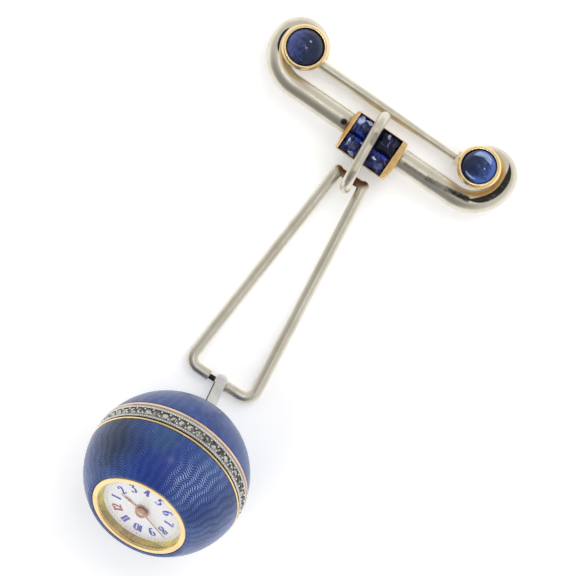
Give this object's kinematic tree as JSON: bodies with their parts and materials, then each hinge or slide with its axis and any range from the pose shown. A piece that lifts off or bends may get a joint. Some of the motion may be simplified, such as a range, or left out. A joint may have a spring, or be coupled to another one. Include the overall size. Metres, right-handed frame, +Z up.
{
  "type": "chatelaine watch pin",
  "caption": "Bar brooch with two collets and a stone-set box, a wire link, and a ball watch with an enamelled case hanging from it on a flat bail.",
  "frame": {"origin": "on the floor under the middle of the whole piece as it lies", "axes": "+X along the brooch bar towards the right collet, +Y from the watch towards the brooch, +Z up, away from the floor and out of the stones' faces"},
  "size_m": [0.0294, 0.055, 0.017],
  "materials": {
    "platinum": "polished platinum, softly worn and slightly warm",
    "gold": "polished yellow gold",
    "sapphire": "polished blue sapphire",
    "diamond": "small cut diamonds",
    "blue_enamel": "translucent blue enamel over engine turning",
    "white_enamel": "white enamel",
    "watch_glass": "clear glass",
    "rose_gold": "polished rose gold",
    "movement_metal": "plain, hidden"
  },
  "bodies": {
    "root": {"bar": "platinum", "box_setting": "gold", "square_sapphire_1": "sapphire", "square_sapphire_2": "sapphire", "square_sapphire_3": "sapphire", "square_sapphire_4": "sapphire", "collet_left": "gold", "collet_right": "gold", "cabochon_left": "sapphire", "cabochon_right": "sapphire", "pin_hinge": "platinum", "pin_catch": "platinum", "oval_loop": "platinum", "trapezoid_link": "platinum", "watch_bail": "platinum", "upper_shell": "blue_enamel", "upper_gold_line": "gold", "diamond_band": "platinum", "band_diamonds": "diamond", "lower_gold_line": "gold", "lower_shell": "blue_enamel", "dial": "white_enamel", "movement": "movement_metal"},
    "pin": {"pin_stem": "platinum"},
    "minute_hand": {"minute_hand": "rose_gold"},
    "hour_hand": {"hour_hand": "rose_gold"},
    "bezel": {"bezel": "gold", "crystal": "watch_glass"}
  },
  "joints": [
    {"name": "pin_hinge_turn", "type": "hinge", "parent": "root", "child": "pin", "pos_m": [-0.01162, 0.02418, 0.0008], "axis": [0, 0.9798, -0.2002], "range_deg": [0, 65]},
    {"name": "minute_hand_turn", "type": "hinge", "parent": "root", "child": "minute_hand", "pos_m": [0.00188, -0.01909, 0.0085], "axis": [0.0154, -0.8024, 0.5965], "continuous": true},
    {"name": "hour_hand_turn", "type": "hinge", "parent": "root", "child": "hour_hand", "pos_m": [0.00188, -0.01909, 0.0085], "axis": [0.0154, -0.8024, 0.5965], "continuous": true},
    {"name": "bezel_turn", "type": "hinge", "parent": "root", "child": "bezel", "pos_m": [0.00188, -0.01909, 0.0085], "axis": [0.0154, -0.8024, 0.5965], "continuous": true}
  ],
  "couplings": [
    {"joint": "hour_hand_turn", "follows": "minute_hand_turn", "ratio": 0.083333}
  ]
}
